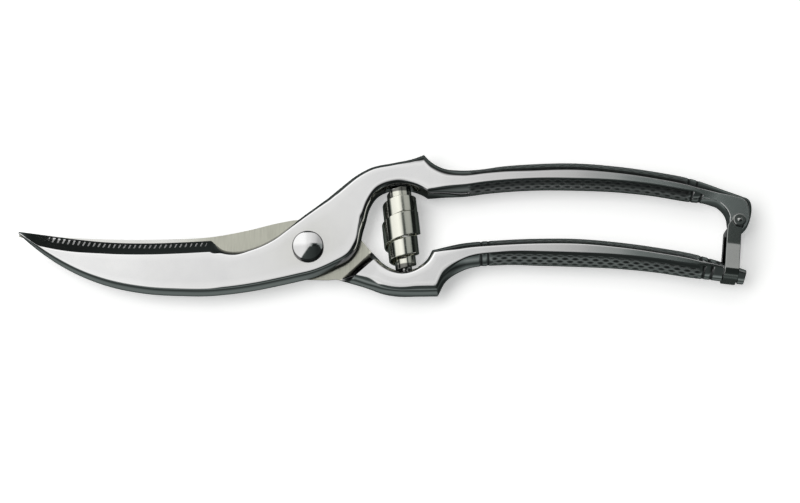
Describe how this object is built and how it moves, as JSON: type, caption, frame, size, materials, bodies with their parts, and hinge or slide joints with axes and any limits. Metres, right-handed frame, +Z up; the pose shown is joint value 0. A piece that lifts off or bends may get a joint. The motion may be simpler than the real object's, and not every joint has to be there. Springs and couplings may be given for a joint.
{
  "type": "poultry shears",
  "caption": "All-metal poultry shears with serrated curved blade, bone notch, half-lap pivot, volute spring between the bows, checkered handles and a swinging latch at the handle ends.",
  "frame": {"origin": "bottom centre of the bounding box, with the shears lying on their back", "axes": "+X from the blades to the handles, +Y towards the upper handle, +Z up out of the front face"},
  "size_m": [0.2498, 0.0512, 0.0123],
  "materials": {
    "polished_chrome": "polished",
    "bright_plating": "bright plated",
    "spring_steel": "bright rolled"
  },
  "bodies": {
    "front body": {"front_lever": "polished_chrome", "pivot_bolt": "polished_chrome", "pivot_washer": "bright_plating", "pivot_nut": "bright_plating", "upper_spring_stud": "bright_plating", "latch_rivet": "bright_plating", "volute_spring": "spring_steel"},
    "rear body": {"rear_lever": "polished_chrome", "lower_spring_stud": "bright_plating"},
    "latch body": {"latch_stirrup": "polished_chrome"}
  },
  "joints": [
    {"name": "blade_pivot", "type": "hinge", "parent": "front body", "child": "rear body", "pos_m": [-0.02637, -0.00894, 0.006], "axis": [0, 0, -1], "range_deg": [0, 34], "deforming": ["volute_spring"]},
    {"name": "latch_swing", "type": "hinge", "parent": "front body", "child": "latch body", "pos_m": [0.11953, 0.00013, 0.006], "axis": [0, 0, 1], "range_deg": [0, 102]}
  ],
  "couplings": [
    {"joint": "latch_swing", "follows": "blade_pivot", "ratio": 3}
  ]
}
